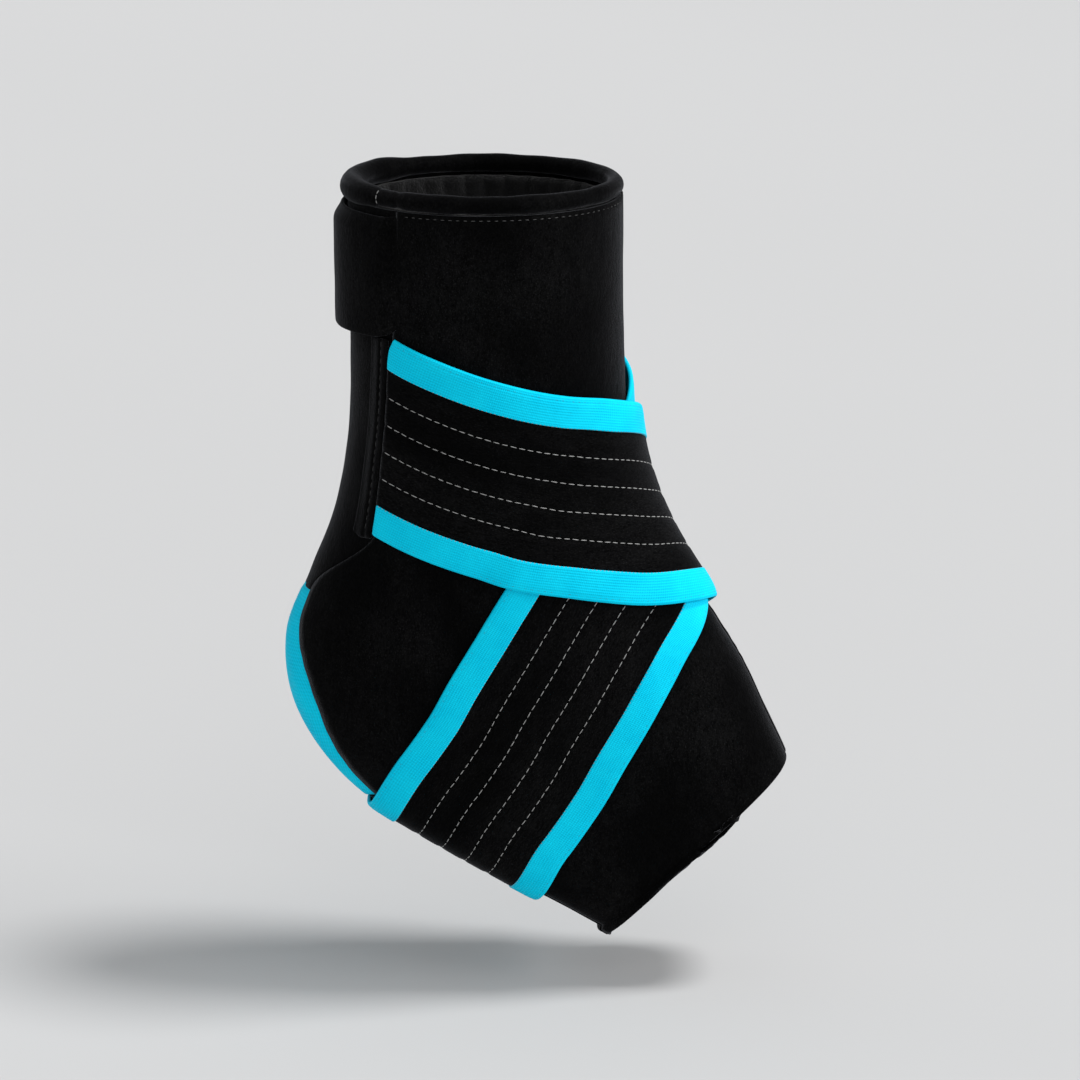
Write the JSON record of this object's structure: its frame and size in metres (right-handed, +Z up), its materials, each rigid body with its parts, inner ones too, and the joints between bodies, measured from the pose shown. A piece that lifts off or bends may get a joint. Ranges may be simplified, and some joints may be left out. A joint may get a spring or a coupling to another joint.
{
  "type": "cold compression ankle wrap",
  "caption": "Padded ankle and foot boot with sewn-in gel packs, a collar flap and a wide elastic strap with bright edges wound round it in a figure of eight.",
  "frame": {"origin": "centre of the wearer's ankle, midway between its outer and inner side", "axes": "+Z up the leg, +X towards the toes, -Y to the outer side where the strap starts"},
  "size_m": [0.203, 0.1005, 0.3087],
  "materials": {
    "loop_pile": "matte brushed loop pile",
    "plush": "soft plush with short tufts",
    "elastic_web": "matte stitched elastic velour",
    "binding": "ribbed woven tape",
    "hook": "short moulded hooks",
    "gel": "soft glossy gel in film"
  },
  "bodies": {
    "boot": {"outer_leg_shell": "loop_pile", "inner_leg_shell": "loop_pile", "back_leg_panel": "loop_pile", "outer_foot_shell": "loop_pile", "inner_foot_shell": "loop_pile", "heel_band": "binding", "sole_panel": "loop_pile", "collar_roll": "loop_pile", "toe_hem": "loop_pile", "outer_leg_liner": "plush", "inner_leg_liner": "plush", "outer_foot_liner": "plush", "inner_foot_liner": "plush", "outer_leg_gel": "gel", "inner_leg_gel": "gel", "outer_ankle_gel": "gel", "inner_ankle_gel": "gel", "ankle_strap_web": "elastic_web", "ankle_strap_upper_binding": "binding", "ankle_strap_lower_binding": "binding", "instep_strap_web": "elastic_web", "instep_strap_upper_binding": "binding", "instep_strap_lower_binding": "binding", "strap_anchor_placket": "loop_pile"},
    "collar_closure": {"collar_flap": "loop_pile", "collar_flap_hook_pad": "hook"},
    "strap_closure": {"strap_end_tab": "elastic_web", "strap_end_hook_pad": "hook"}
  },
  "joints": [
    {"name": "collar_flap_opening", "type": "hinge", "parent": "boot", "child": "collar_closure", "pos_m": [-0.0262, 0.0447, 0.136], "axis": [0, 0, -1], "range_deg": [0, 120]},
    {"name": "strap_end_peel", "type": "hinge", "parent": "boot", "child": "strap_closure", "pos_m": [0.00769, 0.04764, 0.06397], "axis": [-0.0464, -0.0566, -0.9973], "range_deg": [0, 130]}
  ]
}
